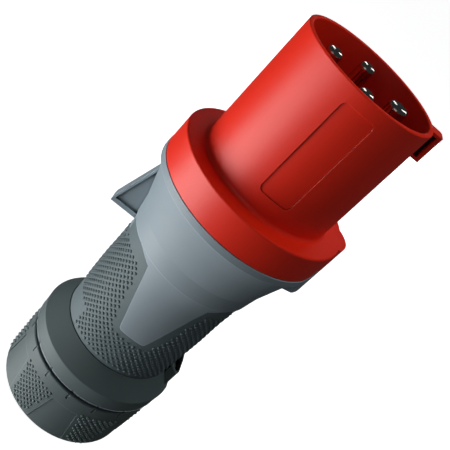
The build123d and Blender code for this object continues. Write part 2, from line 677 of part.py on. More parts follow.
def slider_channel():
    """Cutter for the channel of the slider, undercut to hold its foot."""
    gap = SLIDER_CLEARANCE
    half = SLIDER_WIDTH / 2 + gap
    foot = SLIDER_FOOT_WIDTH / 2 + gap
    low = Z_COLLAR_FOOT - PAST
    high = Z_GRIP_FOOT + GUIDE_RISE + PAST
    foot_top = GUIDE_SEAT + SLIDER_FOOT_THICKNESS + 2 * gap
    channel = block(-half, half, -2 * GUIDE_SEAT, -GUIDE_SEAT, low, high)
    return channel + block(-foot, foot, -foot_top, -GUIDE_SEAT, low, high)


def cone_level(radius):
    """Level of the cone of the collar at a radius."""
    return Z_COLLAR_EDGE + COLLAR_CONE_LENGTH * (COLLAR_EDGE - radius) / (COLLAR_EDGE - collar_top_radius())


def make_slider():
    """Nut lock slider: foot, flat body, ramped thumb piece over the guide, and the tooth for the marks on the nut."""
    seat = GUIDE_SEAT + SLIDER_CLEARANCE
    low = Z_COLLAR_FOOT + SLIDER_TRAVEL + SLIDER_CLEARANCE
    over_guide = SLIDER_TRAVEL + SLIDER_CLEARANCE
    top = Z_GRIP_FOOT + SLIDER_RISE
    edge = COLLAR_EDGE - COLLAR_TOP_STEP
    face = GUIDE_REACH - SLIDER_FACE_DROP
    tip = GRIP_LOWER_DIAMETER / 2 + SLIDER_CLEARANCE
    tip_end = tip + SLIDER_PROUD
    thumb_top = top - SLIDER_RAMP_LENGTH
    thumb_low = thumb_top - SLIDER_THUMB_LENGTH
    points = [(-seat, low), (-edge, low), (-edge, Z_COLLAR_EDGE), (-face, cone_level(face)),
              (-face, thumb_low - SLIDER_PROUD), (-SLIDER_REACH, thumb_low), (-SLIDER_REACH, thumb_top),
              (-tip_end, top), (-tip, top), (-tip, guide_top(tip) + over_guide), (-seat, guide_top(seat) + over_guide)]
    rounds = [(-SLIDER_REACH, thumb_low, 1.0), (-SLIDER_REACH, thumb_top, 2.0)]
    slider = prism_along_x(points, SLIDER_WIDTH / 2, rounds)
    foot = SLIDER_FOOT_WIDTH / 2
    slider += block(-foot, foot, -seat - SLIDER_FOOT_THICKNESS, -seat, low, guide_top(GUIDE_REACH))
    tooth_inner = NUT_TOP_RADIUS - MARK_DEPTH + SLIDER_CLEARANCE
    half = SLIDER_TOOTH_WIDTH / 2
    tooth = block(tooth_inner, tooth_inner + SLIDER_TOOTH_THICKNESS, -half, half, Z_NUT_TOP + SLIDER_TOOTH_GAP, low + SLIDER_TRAVEL)
    return slider + Rot(0, 0, -90 + MARK_PHASE) * tooth


# Gland nut: tapered, with sunk smooth panels, marks on the rim and a chamfered mouth
def panel_cutter():
    """Wedge that sinks one smooth panel into the side of the nut, wider at the end."""
    top = Z_NUT_TOP - PANEL_FROM_TOP
    outer = NUT_TOP_RADIUS
    half_top = outer * sin(radians(PANEL_TOP_ANGLE / 2))
    half_end = outer * sin(radians(PANEL_END_ANGLE / 2))
    outline = make_face(Polyline((-half_end, -PAST), (half_end, -PAST), (half_top, top), (-half_top, top), close=True))
    return extrude(Plane((0, 0, 0), x_dir=(0, 1, 0), z_dir=(1, 0, 0)) * outline, amount=outer + PAST)


def make_nut():
    top = NUT_TOP_RADIUS
    end = NUT_END_DIAMETER / 2
    mouth = NUT_MOUTH_DIAMETER / 2
    outline = [
        (mouth + NUT_MOUTH_CHAMFER, 0),
        (end, 0),
        (top, Z_NUT_TOP - NUT_TOP_CHAMFER),
        (top - NUT_TOP_CHAMFER, Z_NUT_TOP),
        (top - NUT_RIM_WALL, Z_NUT_TOP),
        (top - NUT_RIM_WALL, Z_NUT_TOP - NUT_RIM_DEPTH),
        (NUT_BORE, Z_NUT_TOP - NUT_RIM_DEPTH),
        (NUT_BORE, NUT_END_WALL),
        (mouth, NUT_END_WALL),
        (mouth, NUT_MOUTH_CHAMFER),
    ]
    nut = turned(outline, [(end, 0, NUT_END_FILLET)])
    skin = turned([
        (end - PANEL_DEPTH - PAST, -PAST),
        (end + 2 * PAST, -PAST),
        (top + 2 * PAST, Z_NUT_TOP),
        (top - PANEL_DEPTH, Z_NUT_TOP),
        (end - PANEL_DEPTH, 0),
    ])
    skin &= turned([
        (end - NUT_END_FILLET, PANEL_DEPTH), (end + 3 * PAST, PANEL_DEPTH),
        (end + 3 * PAST, Z_NUT_TOP), (end - NUT_END_FILLET, Z_NUT_TOP),
    ])
    nut -= [cutter & skin for cutter in around(panel_cutter(), PANEL_COUNT)]
    nut -= marks(top, Z_NUT_TOP - NUT_MARK_LENGTH, NUT_MARK_LENGTH + PAST)
    return nut


def make_slip_ring():
    low = NUT_END_WALL
    high = low + SLIP_RING_THICKNESS
    outer = NUT_BORE - SLIP_RING_CLEARANCE
    bore = SLIP_RING_BORE_DIAMETER / 2
    cage_outer = STUB_BORE - CAGE_CLEARANCE
    wide = cage_outer - CAGE_TIP_CHAMFER / 2
    return turned([(bore, low), (outer, low), (outer, high), (wide, high), (bore, high - SLIP_RING_THICKNESS / 2)])


def cage_top():
    return Z_NECK_END - CAGE_CLEARANCE


def cage_tip():
    return NUT_END_WALL + SLIP_RING_THICKNESS + SLIP_RING_CLEARANCE


def make_cage():
    outer = STUB_BORE - CAGE_CLEARANCE
    inner = outer - CAGE_WALL
    top = cage_top()
    tip = cage_tip()
    cage = turned([
        (inner, tip),
        (outer - CAGE_TIP_CHAMFER, tip),
        (outer, tip + CAGE_TIP_CHAMFER),
        (outer, top),
        (inner, top),
    ])
    slot = block(inner - PAST, outer + PAST, -CAGE_SLOT / 2, CAGE_SLOT / 2, tip - PAST, top - CAGE_RING_LENGTH)
    cage -= around(slot, CAGE_FINGERS)
    return cage


def make_gland_seal():
    outer = STUB_BORE - CAGE_CLEARANCE - CAGE_WALL - GLAND_SEAL_CLEARANCE
    bore = GLAND_SEAL_BORE / 2
    top = cage_top()
    low = top - GLAND_SEAL_LENGTH
    seal = ring(bore, outer, low, top)
    step = GLAND_SEAL_LENGTH / (GLAND_SEAL_GROOVES + 1)
    for index in range(GLAND_SEAL_GROOVES):
        level = low + (index + 1) * step
        seal -= ring(bore - PAST, bore + GLAND_SEAL_GROOVE, level - GLAND_SEAL_GROOVE, level + GLAND_SEAL_GROOVE)
    return seal


def write(name, shape):
    solids = shape.solids()
    body = solids[0] if len(solids) == 1 else Compound(children=list(solids))
    body.label = name
    export_step(body, f"parts/{name}.step")


os.makedirs("parts", exist_ok=True)
write("sleeve_shroud", make_shroud())
write("contact_carrier", make_carrier())
for pin_name in PIN_ANGLES:
    write(pin_name, make_pin(pin_name))
    write(pin_name.replace("pin", "clamp"), make_clamp(pin_name))
write("clamp_screws", make_clamp_screws())
write("carrier_screws", make_carrier_screws())
write("front_seal", make_front_seal())
write("rear_housing", make_housing())
write("grip_sleeve", make_grip())
write("gland_collar", make_collar())
write("lock_slider", make_slider())
write("gland_nut", make_nut())
write("slip_ring", make_slip_ring())
write("clamping_cage", make_cage())
write("gland_seal", make_gland_seal())
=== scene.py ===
"""Looks of a pin and sleeve plug: moulded red sleeve, grey housing, nubbed grip and gland nut."""

import logging
import math
from dataclasses import dataclass, field
from enum import Enum

import bmesh
import bpy
from mathutils import Matrix, Vector
from mathutils.bvhtree import BVHTree


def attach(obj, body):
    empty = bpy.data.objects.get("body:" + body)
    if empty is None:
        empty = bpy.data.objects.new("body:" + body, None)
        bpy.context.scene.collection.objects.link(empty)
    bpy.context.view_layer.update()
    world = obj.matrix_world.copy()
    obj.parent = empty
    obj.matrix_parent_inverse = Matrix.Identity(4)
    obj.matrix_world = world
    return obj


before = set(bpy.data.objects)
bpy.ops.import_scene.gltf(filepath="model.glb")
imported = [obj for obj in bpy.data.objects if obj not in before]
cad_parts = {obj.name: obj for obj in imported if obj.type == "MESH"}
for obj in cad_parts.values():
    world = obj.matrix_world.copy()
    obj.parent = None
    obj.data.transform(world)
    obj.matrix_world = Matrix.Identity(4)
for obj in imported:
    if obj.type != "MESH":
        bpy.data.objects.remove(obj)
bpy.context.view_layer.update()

MM = 0.001
PINS = ("earth_pin", "phase_pin_l1", "phase_pin_l2", "phase_pin_l3")
NOISE_LOW, NOISE_HIGH = 0.3, 0.7  # most values of a noise texture lie between these
WAVE_RATE = 20.0  # radians of a wave texture in one unit of its scaled place
OCCLUSION_SAMPLES = 8
BEVEL_SAMPLES = 4
FEEL_FROM_MM = 80.0  # where the rays that feel a piece start, outside the widest one
PLUG_MIDDLE_MM = 125.0  # level that every lamp looks at
MERGE_DISTANCE = 1e-7
log = logging.getLogger("plug")


# Colour and node helpers
def linear(hex_code: str) -> tuple[float, float, float, float]:
    """Turn an sRGB hex value into a linear colour.

    Args:
        hex_code: Six hex digits, without a hash.

    Returns:
        Linear red, green, blue and an alpha of one.
    """
    values = [int(hex_code[i:i + 2], 16) / 255 for i in (0, 2, 4)]
    bent = [v / 12.92 if v <= 0.04045 else ((v + 0.055) / 1.055) ** 2.4 for v in values]
    return (bent[0], bent[1], bent[2], 1.0)


def add_node(tree: bpy.types.NodeTree, kind: str, settings: dict | None = None,
             inputs: dict | None = None) -> bpy.types.Node:
    """Add one node with its settings, values and links.

    Args:
        tree: Node tree that gets the node.
        kind: Name of the node's type.
        settings: Properties of the node by name.
        inputs: Input values by socket name or index; a socket as a value is linked.

    Returns:
        The new node.
    """
    node = tree.nodes.new(kind)
    for name, value in (settings or {}).items():
        setattr(node, name, value)
    for name, value in (inputs or {}).items():
        if isinstance(value, bpy.types.NodeSocket):
            tree.links.new(value, node.inputs[name])
        else:
            node.inputs[name].default_value = value
    return node


# Finishes
@dataclass(frozen=True)
class Finish:
    """A surface finish that can make its own material."""

    name: str
    colour: str
    roughness: float

    def start(self) -> tuple[bpy.types.Material, bpy.types.NodeTree]:
        """Make an empty material.

        Returns:
            The material and its node tree.
        """
        material = bpy.data.materials.new(self.name)
        material.use_nodes = True
        tree = material.node_tree
        tree.nodes.clear()
        return material, tree

    def place(self, tree: bpy.types.NodeTree) -> bpy.types.NodeSocket:
        """Return the object coordinates of the piece."""
        return add_node(tree, "ShaderNodeTexCoord").outputs["Object"]

    def finish(self, tree: bpy.types.NodeTree, shader: bpy.types.Node) -> None:
        """Link the shader to the output of the tree."""
        add_node(tree, "ShaderNodeOutputMaterial", inputs={"Surface": shader.outputs[0]})


@dataclass(frozen=True)
class MouldedPlastic(Finish):
    """Plastic or rubber moulded in a spark eroded mould: fine grain, soft sheen, edges just broken, with
    painted edge highlights and painted corner shade.
    """

    shade: str = "808080"
    sheen: float = 0.5
    refraction: float = 1.52
    # Spark eroded grain is some 0.05 mm wide, too fine to show, so it is drawn about nine times as coarse.
    grain_mm: float = 0.45
    grain_depth_mm: float = 0.012
    # The grain takes the roughness this far below and above its middle.
    smoother: float = 0.04
    rougher: float = 0.05
    # Slow clouds, left as the melt cools, take the colour this far towards the second shade.
    cloud_mm: float = 26.0
    cloud_share: float = 0.22
    # Painted highlight: a broken edge is painted paler, as if light caught it. It shows by how few rays into
    # the body stay clear of its other faces.
    edge_mm: float = 0.35
    edge_reach: float = 2.0
    edge_starts: float = 0.9
    edge_whole: float = 0.6
    edge_highlight_gain: float = 1.5
    # Painted shade: a narrow corner is painted darker, where shade would fall. It shows by how few rays out
    # of it stay clear.
    crevice_mm: float = 3.0
    crevice_shut: float = 0.25
    crevice_open: float = 0.72
    crevice_shade: float = 0.12

    def tone(self, tree: bpy.types.NodeTree, place: bpy.types.NodeSocket) -> bpy.types.NodeSocket:
        """Mix the colour of the moulding from its two tones, then paint highlights on its edges and shade in
        its narrow corners.

        Args:
            tree: Node tree of the material.
            place: Object coordinates of the piece.

        Returns:
            The colour at each place.
        """
        cloud = add_node(tree, "ShaderNodeTexNoise", inputs={
            "Vector": place, "Scale": 1 / (self.cloud_mm * MM), "Detail": 3.0, "Roughness": 0.5})
        drift = add_node(tree, "ShaderNodeMapRange", inputs={
            "Value": cloud.outputs["Fac"], "From Min": NOISE_LOW, "From Max": NOISE_HIGH,
            "To Min": 0.0, "To Max": self.cloud_share})
        colour = add_node(tree, "ShaderNodeMix", {"data_type": "RGBA"}, {
            "Factor": drift.outputs["Result"], "A": linear(self.colour), "B": linear(self.shade)})
        # Painted highlight: edges are mixed towards a paler copy of the colour.
        rim = add_node(tree, "ShaderNodeAmbientOcclusion", {
            "inside": True, "only_local": True, "samples": OCCLUSION_SAMPLES}, {
            "Distance": self.edge_reach * self.edge_mm * MM})
        edge_highlight = add_node(tree, "ShaderNodeMapRange", inputs={
            "Value": rim.outputs["AO"], "From Min": self.edge_starts, "From Max": self.edge_whole,
            "To Min": 0.0, "To Max": 1.0})
        bright = tuple(min(1.0, self.edge_highlight_gain * v) for v in linear(self.colour)[:3]) + (1.0,)
        edged = add_node(tree, "ShaderNodeMix", {"data_type": "RGBA"}, {
            "Factor": edge_highlight.outputs["Result"], "A": colour.outputs["Result"], "B": bright})
        # Painted shade: narrow corners are darkened.
        crevice = add_node(tree, "ShaderNodeAmbientOcclusion", {"samples": OCCLUSION_SAMPLES}, {
            "Distance": self.crevice_mm * MM})
        corner_shade = add_node(tree, "ShaderNodeMapRange", inputs={
            "Value": crevice.outputs["AO"], "From Min": self.crevice_shut, "From Max": self.crevice_open,
            "To Min": self.crevice_shade, "To Max": 1.0})
        highlit_and_shaded = add_node(tree, "ShaderNodeVectorMath", {"operation": "SCALE"}, {
            "Vector": edged.outputs["Result"], "Scale": corner_shade.outputs["Result"]})
        return highlit_and_shaded.outputs["Vector"]

    def make(self) -> bpy.types.Material:
        """Make the material.

        Returns:
            The finished material.
        """
        material, tree = self.start()
        place = self.place(tree)
        grain = add_node(tree, "ShaderNodeTexNoise", inputs={
            "Vector": place, "Scale": 1 / (self.grain_mm * MM), "Detail": 2.0, "Roughness": 0.55})
        rough = add_node(tree, "ShaderNodeMapRange", inputs={
            "Value": grain.outputs["Fac"], "From Min": NOISE_LOW, "From Max": NOISE_HIGH,
            "To Min": self.roughness - self.smoother, "To Max": self.roughness + self.rougher})
        soft_edge = add_node(tree, "ShaderNodeBevel", {"samples": BEVEL_SAMPLES}, {
            "Radius": self.edge_mm * MM})
        bump = add_node(tree, "ShaderNodeBump", inputs={
            "Strength": 1.0, "Distance": self.grain_depth_mm * MM, "Height": grain.outputs["Fac"],
            "Normal": soft_edge.outputs["Normal"]})
        shader = add_node(tree, "ShaderNodeBsdfPrincipled", inputs={
            "Base Color": self.tone(tree, place), "Roughness": rough.outputs["Result"],
            "Normal": bump.outputs["Normal"], "Specular IOR Level": self.sheen, "IOR": self.refraction})
        self.finish(tree, shader)
        return material


@dataclass(frozen=True)
class PlatedMetal(Finish):
    """Turned or pressed metal under nickel or zinc: bright, slightly uneven, lined across the axis."""

    # The lines are 2 pi times this apart, so 0.75 mm. Real tool lines, some 0.1 mm apart, are too fine to
    # show, and are drawn that much coarser.
    line_radian_mm: float = 0.12
    line_depth_mm: float = 0.002
    # Small clouds, as plating leaves them, take the roughness this far below and above its middle.
    cloud_mm: float = 3.0
    smoother: float = 0.04
    rougher: float = 0.06
    edge_mm: float = 0.3

    def make(self) -> bpy.types.Material:
        """Make the material.

        Returns:
            The finished material.
        """
        material, tree = self.start()
        place = self.place(tree)
        lines = add_node(tree, "ShaderNodeTexWave", {"bands_direction": "Z"}, {
            "Vector": place, "Scale": 1 / (WAVE_RATE * self.line_radian_mm * MM),
            "Distortion": 0.4, "Detail": 1.0})
        cloud = add_node(tree, "ShaderNodeTexNoise", inputs={
            "Vector": place, "Scale": 1 / (self.cloud_mm * MM), "Detail": 3.0})
        rough = add_node(tree, "ShaderNodeMapRange", inputs={
            "Value": cloud.outputs["Fac"],
            "To Min": self.roughness - self.smoother, "To Max": self.roughness + self.rougher})
        soft_edge = add_node(tree, "ShaderNodeBevel", {"samples": BEVEL_SAMPLES}, {
            "Radius": self.edge_mm * MM})
        bump = add_node(tree, "ShaderNodeBump", inputs={
            "Distance": self.line_depth_mm * MM, "Height": lines.outputs["Fac"],
            "Normal": soft_edge.outputs["Normal"]})
        shader = add_node(tree, "ShaderNodeBsdfPrincipled", inputs={
            "Base Color": linear(self.colour), "Metallic": 1.0, "Roughness": rough.outputs["Result"],
            "Normal": bump.outputs["Normal"]})
        self.finish(tree, shader)
        return material


@dataclass(frozen=True)
class FloorPaint(Finish):
    """Matt white paint with an even glow, for the stage alone: no horizon and no spot of light.

    It shows from its front alone, so that the floor doesn't stand between a low camera and the plug.
    """

    glow_colour: str = "FFFFFF"
    glow: float = 0.95

    def make(self) -> bpy.types.Material:
        """Make the material.

        Returns:
            The finished material.
        """
        material, tree = self.start()
        shader = add_node(tree, "ShaderNodeBsdfPrincipled", inputs={
            "Base Color": linear(self.colour), "Roughness": self.roughness,
            "Emission Color": linear(self.glow_colour), "Emission Strength": self.glow})
        under = add_node(tree, "ShaderNodeNewGeometry")
        clear = add_node(tree, "ShaderNodeBsdfTransparent")
        seen = add_node(tree, "ShaderNodeMixShader", inputs={
            0: under.outputs["Backfacing"], 1: shader.outputs[0], 2: clear.outputs[0]})
        self.finish(tree, seen)
        return material


class Finishes(Enum):
    """Every finish on the plug."""

    # Red polyamide, moulded satin: an even strong colour, with soft and broad highlights.
    RED_SLEEVE = MouldedPlastic("red_moulded_polyamide", "F82C14", 0.44, shade="EC2610", sheen=0.5)
    # Dark red polyester, moulded: takes little light, so the sleeve looks deep inside.
    CARRIER = MouldedPlastic("dark_red_moulded_polyester", "8A1409", 0.5, shade="7A1007")
    # Light grey polyamide, moulded satin: cool, its rims drawn by painted highlights on the edges.
    GREY_HOUSING = MouldedPlastic("grey_moulded_polyamide", "919FA7", 0.5, shade="89979F", edge_highlight_gain=1.8)
    # Elastomer moulded over the housing: matt, its coarser grain spreads the light.
    GRIP = MouldedPlastic("soft_elastomer_overmould", "657377", 0.62, shade="5D6B6D", sheen=0.35,
                          grain_mm=0.6, edge_highlight_gain=1.15)
    # Dark grey polyamide, moulded satin: duller than the housing, with clear painted highlights on its
    # edges.
    COLLAR = MouldedPlastic("dark_grey_moulded_polyamide", "5C696A", 0.52, shade="566263", sheen=0.4,
                            edge_highlight_gain=1.8)
    # Dark grey polyamide, moulded satin: a touch darker than the collar, so the two part by eye.
    NUT = MouldedPlastic("gland_nut_moulded_polyamide", "596566", 0.52, shade="535F60", sheen=0.4,
                         edge_highlight_gain=1.8)
    # Grey polyamide painted pale: a painted highlight, a thin bright line round the foot.
    FOOT_BEAD_HIGHLIGHT = MouldedPlastic("grey_polyamide_painted_highlight", "B4C1CC", 0.3, shade="AEBBC6", edge_highlight_gain=1.1,
                               crevice_shade=0.9)
    # Black acetal, moulded: nearly black, with a waxy glint where it bends.
    SLIDER = MouldedPlastic("black_moulded_acetal", "17191A", 0.42, shade="111213")
    # Undyed polyamide, moulded satin: warm ivory.
    RING = MouldedPlastic("natural_moulded_polyamide", "D8D4C4", 0.45, shade="CEC9B7")
    # Black rubber, moulded: dull, with wide soft edges.
    SEAL = MouldedPlastic("black_moulded_rubber", "1B1C1D", 0.7, shade="141516", sheen=0.3, edge_mm=0.5)
    # Turned brass under bright nickel: sharp dark and bright streaks along each pin.
    PIN = PlatedMetal("nickel_plated_brass", "CFCBC4", 0.06, edge_mm=0.8)
    # Pressed steel under zinc: pale grey, with a soft wide glint and lines 1.9 mm apart.
    CLAMP = PlatedMetal("zinc_plated_steel", "BDBFC0", 0.32, line_radian_mm=0.3)


# Meshes and pieces
def dress(node: str, material: bpy.types.Material) -> None:
    """Give a CAD node one material.

    Args:
        node: Name of the CAD node.
        material: Finish of the whole node.
    """
    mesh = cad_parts[node].data
    mesh.materials.clear()
    mesh.materials.append(material)


def whole(mesh: bmesh.types.BMesh) -> list:
    """Return every vertex, edge and face of a mesh."""
    return mesh.verts[:] + mesh.edges[:] + mesh.faces[:]


def corners_of(geometry: list) -> list[bmesh.types.BMVert]:
    """Return the vertices among some geometry."""
    return [item for item in geometry if isinstance(item, bmesh.types.BMVert)]


def profile(mesh: bmesh.types.BMesh, corners: list[tuple[float, float]]) -> list:
    """Draw a closed outline in the plane at azimuth zero, ready for a spin.

    Args:
        mesh: Mesh that gets the outline.
        corners: Radius and level of each corner, in metres.

    Returns:
        The outline's face with its edges and vertices.
    """
    face = mesh.faces.new([mesh.verts.new((radius, 0.0, level)) for radius, level in corners])
    return [face] + list(face.edges) + list(face.verts)


def piece_from(mesh: bmesh.types.BMesh, name: str, material: bpy.types.Material) -> bpy.types.Object:
    """Turn a shaped mesh into a piece with one finish.

    Args:
        mesh: The shaped mesh, which is freed.
        name: Name of the piece.
        material: Finish of the piece.

    Returns:
        The piece, at the origin and on no body yet.
    """
    data = bpy.data.meshes.new(name)
    mesh.to_mesh(data)
    mesh.free()
    data.materials.append(material)
    piece = bpy.data.objects.new(name, data)
    bpy.context.scene.collection.objects.link(piece)
    log.info("%s: %d faces", name, len(data.polygons))
    return piece


class Surface:
    """The outside of a CAD node, felt with rays that run in towards the plug's axis."""

    def __init__(self, node: str) -> None:
        """Read the node's mesh once.

        Args:
            node: Name of the CAD node.
        """
        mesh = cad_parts[node].data
        self.tree = BVHTree.FromPolygons([v.co.copy() for v in mesh.vertices],
                                         [tuple(p.vertices) for p in mesh.polygons])

    def radius(self, degrees: float, level: float) -> float | None:
        """Find the radius of the outside at one azimuth and level.

        Args:
            degrees: Azimuth round the axis.
            level: Height in metres.

        Returns:
            The radius in metres, or None where nothing is hit.
        """
        turn = math.radians(degrees)
        out = Vector((math.cos(turn), math.sin(turn), 0.0))
        hit, _, _, _ = self.tree.ray_cast(out * (FEEL_FROM_MM * MM) + Vector((0, 0, level)), -out)
        return None if hit is None else Vector((hit.x, hit.y)).length


# Nubs, thread, key slot and bead
@dataclass(frozen=True)
class BareField:
    """A smooth field among the nubs, between two azimuths and up to a level."""

    first_degrees: float
    last_degrees: float
    high_mm: float

    def holds(self, degrees: float, level: float) -> bool:
        """Say whether a place lies in the field."""
        return self.first_degrees <= degrees % 360 <= self.last_degrees and level <= self.high_mm * MM


@dataclass
class NubField:
    """Rows of small round nubs, staggered, on one turned piece."""

    node: str
    name: str
    body: str
    slot: str
    low_mm: float
    high_mm: float
    feel_degrees: float
    per_turn: int
    row_mm: float
    phase_degrees: float = 0.0
    nub_radius_mm: float = 0.82
    nub_height_mm: float = 0.6
    nub_sides: int = 9
    # Shares of the nub's radius and height, from the middle of its foot to the middle of its top.
    nub_outline: tuple[tuple[float, float], ...] = (
        (0.0, -0.15), (1.0, -0.15), (0.98, 0.35), (0.82, 0.76), (0.45, 0.96), (0.0, 1.0))
    # Room that a nub keeps to the side, below and above, and at this share of it to the corners above.
    side_margin_mm: float = 4.2
    low_margin_mm: float = 1.6
    high_margin_mm: float = 3.6
    corner_share: float = 0.7
    # A probe may find the surface this far off, and this much further for each millimetre up or down.
    off_mm: float = 0.25
    off_per_mm: float = 0.09
    lean_reach_mm: float = 0.8
    bare: tuple[BareField, ...] = ()
    sectors: int = 0
    sector_start: float = 30.0
    sector_foot_half: float = 9.4
    sector_top_half: float = 16.4

    def in_sector(self, degrees: float, level: float) -> bool:
        """Say whether a place lies in one of the nubbed sectors, which widen towards the top.

        Args:
            degrees: Azimuth of the place.
            level: Height of the place in metres.

        Returns:
            True in a sector, and everywhere on a piece without sectors.
        """
        if not self.sectors:
            return True
        share = (level / MM - self.low_mm) / (self.high_mm - self.low_mm)
        half = self.sector_foot_half + share * (self.sector_top_half - self.sector_foot_half)
        pitch = 360 / self.sectors
        return abs((degrees - self.sector_start + pitch / 2) % pitch - pitch / 2) <= half

    def allowed(self, surface: Surface, degrees: float, level: float, radius: float) -> bool:
        """Say whether a nub may stand here: on the piece, clear of its edges and of the bare fields.

        Args:
            surface: The outside of the piece.
            degrees: Azimuth of the nub.
            level: Height of the nub in metres.
            radius: Radius of the plain turned surface there.

        Returns:
            True where the nub stands.
        """
        if not self.in_sector(degrees, level) or any(patch.holds(degrees, level) for patch in self.bare):
            return False
        side = math.degrees(self.side_margin_mm * MM / radius)
        near = self.corner_share
        probes = [(0.0, 0.0), (side, 0.0), (-side, 0.0), (0.0, self.high_margin_mm),
                  (0.0, -self.low_margin_mm), (near * side, near * self.high_margin_mm),
                  (-near * side, near * self.high_margin_mm)]
        for turn, rise in probes:
            found = surface.radius(degrees + turn, level + rise * MM)
            if found is None or abs(found - radius) > (self.off_mm + self.off_per_mm * abs(rise)) * MM:
                return False
        return True

    def seed(self) -> bpy.types.Mesh:
        """Spin the outline of one steep, round-topped nub, its flat foot just under the surface.

        Returns:
            The mesh of the nub, upright at the origin.
        """
        mesh = bmesh.new()
        line = [mesh.verts.new((x * self.nub_radius_mm * MM, 0.0, z * self.nub_height_mm * MM))
                for x, z in self.nub_outline]
        edges = [mesh.edges.new(pair) for pair in zip(line, line[1:])]
        bmesh.ops.spin(mesh, geom=line + edges, cent=(0, 0, 0), axis=(0, 0, 1), angle=2 * math.pi,
                       steps=self.nub_sides, use_merge=True)
        bmesh.ops.remove_doubles(mesh, verts=mesh.verts, dist=MERGE_DISTANCE)
        bmesh.ops.recalc_face_normals(mesh, faces=mesh.faces)
        for face in mesh.faces:
            face.smooth = face.normal.z > -0.9  # all but the flat foot
        data = bpy.data.meshes.new("nub_seed")
        mesh.to_mesh(data)
        mesh.free()
        return data

    def make(self, material: bpy.types.Material) -> bpy.types.Object:
        """Set the nubs row by row round the axis, each one square to the surface under it.

        Args:
            material: Finish of the piece that carries the nubs.

        Returns:
            The finished piece.
        """
        surface = Surface(self.node)
        seed = self.seed()
        mesh = bmesh.new()
        level = self.low_mm * MM
        row = 0
        step = 360 / self.per_turn
        while level <= self.high_mm * MM:
            radius = surface.radius(self.feel_degrees, level)
            above = surface.radius(self.feel_degrees, level + self.lean_reach_mm * MM)
            below = surface.radius(self.feel_degrees, level - self.lean_reach_mm * MM)
            lean = math.atan2(below - above, 2 * self.lean_reach_mm * MM)
            first = self.phase_degrees + (step / 2 if row % 2 else 0.0)
            for place in range(self.per_turn):
                degrees = first + place * step
                if self.allowed(surface, degrees, level, radius):
                    spot = (Matrix.Rotation(math.radians(degrees), 4, "Z")
                            @ Matrix.Translation((radius, 0, level))
                            @ Matrix.Rotation(math.pi / 2 - lean, 4, "Y"))
                    seed.transform(spot)
                    mesh.from_mesh(seed)
                    seed.transform(spot.inverted())
            row += 1
            level += self.row_mm * MM
        bpy.data.meshes.remove(seed)
        piece = piece_from(mesh, self.name, material)
        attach(piece, self.body)
        return piece


@dataclass
class StubThread:
    """Helical ridge of the thread on the collar's stub, which shows when the nut is backed off."""

    root_mm: float = 34.1
    crest_mm: float = 34.42
    pitch_mm: float = 3.0
    root_half: float = 0.42  # share of the pitch, as the next is
    crest_half: float = 0.16
    low_mm: float = 14.3
    high_mm: float = 36.3
    steps_per_turn: int = 60

    def make(self, material: bpy.types.Material) -> bpy.types.Object:
        """Spin the ridge's outline up the stub.

        Args:
            material: Finish of the collar.

        Returns:
            The finished piece.
        """
        turns = (self.high_mm - self.low_mm) / self.pitch_mm
        steps = round(turns * self.steps_per_turn)
        outline = ((self.root_mm, -self.root_half), (self.crest_mm, -self.crest_half),
                   (self.crest_mm, self.crest_half), (self.root_mm, self.root_half))
        mesh = bmesh.new()
        ridge = profile(mesh, [(x * MM, (self.low_mm + z * self.pitch_mm) * MM) for x, z in outline])
        bmesh.ops.spin(mesh, geom=ridge, cent=(0, 0, 0), axis=(0, 0, 1),
                       dvec=(0, 0, (self.high_mm - self.low_mm) * MM / steps),
                       angle=turns * 2 * math.pi, steps=steps, use_duplicate=False)
        bmesh.ops.recalc_face_normals(mesh, faces=mesh.faces)
        piece = piece_from(mesh, "stub_thread", material)
        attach(piece, "plug_body")
        return piece


@dataclass
class KeySlotShade:
    """Black plates at the bottom of the two slots beside the key's web: painted shade that darkens the
    slots.
    """

    web_half_mm: float = 1.1
    plate_mm: float = 0.3
    middle_share: float = 0.45  # share of the plate from the web's face to the plate's middle
    near_mm: float = 35.55
    far_mm: float = 38.15
    low_mm: float = 232.35
    high_mm: float = 244.15
    corner_mm: float = 0.1

    def make(self, material: bpy.types.Material) -> bpy.types.Object:
        """Shape one plate from a bevelled cube and repeat it on the other side of the web.

        Args:
            material: Finish of the plates.

        Returns:
            The finished piece.
        """
        side = self.web_half_mm + self.middle_share * self.plate_mm
        mesh = bmesh.new()
        bmesh.ops.create_cube(mesh, size=1.0)
        bmesh.ops.scale(mesh, vec=(self.plate_mm * MM, (self.far_mm - self.near_mm) * MM,
                                   (self.high_mm - self.low_mm) * MM), verts=mesh.verts)
        bmesh.ops.bevel(mesh, geom=mesh.edges[:], offset=self.corner_mm * MM, affect="EDGES", segments=2,
                        profile=0.5, material=-1)
        bmesh.ops.translate(mesh, verts=mesh.verts, vec=(
            -side * MM, -(self.near_mm + self.far_mm) / 2 * MM, (self.low_mm + self.high_mm) / 2 * MM))
        twin = bmesh.ops.duplicate(mesh, geom=whole(mesh))
        bmesh.ops.translate(mesh, vec=(2 * side * MM, 0, 0), verts=corners_of(twin["geom"]))
        piece = piece_from(mesh, "key_slot_shade", material)
        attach(piece, "plug_body")
        return piece


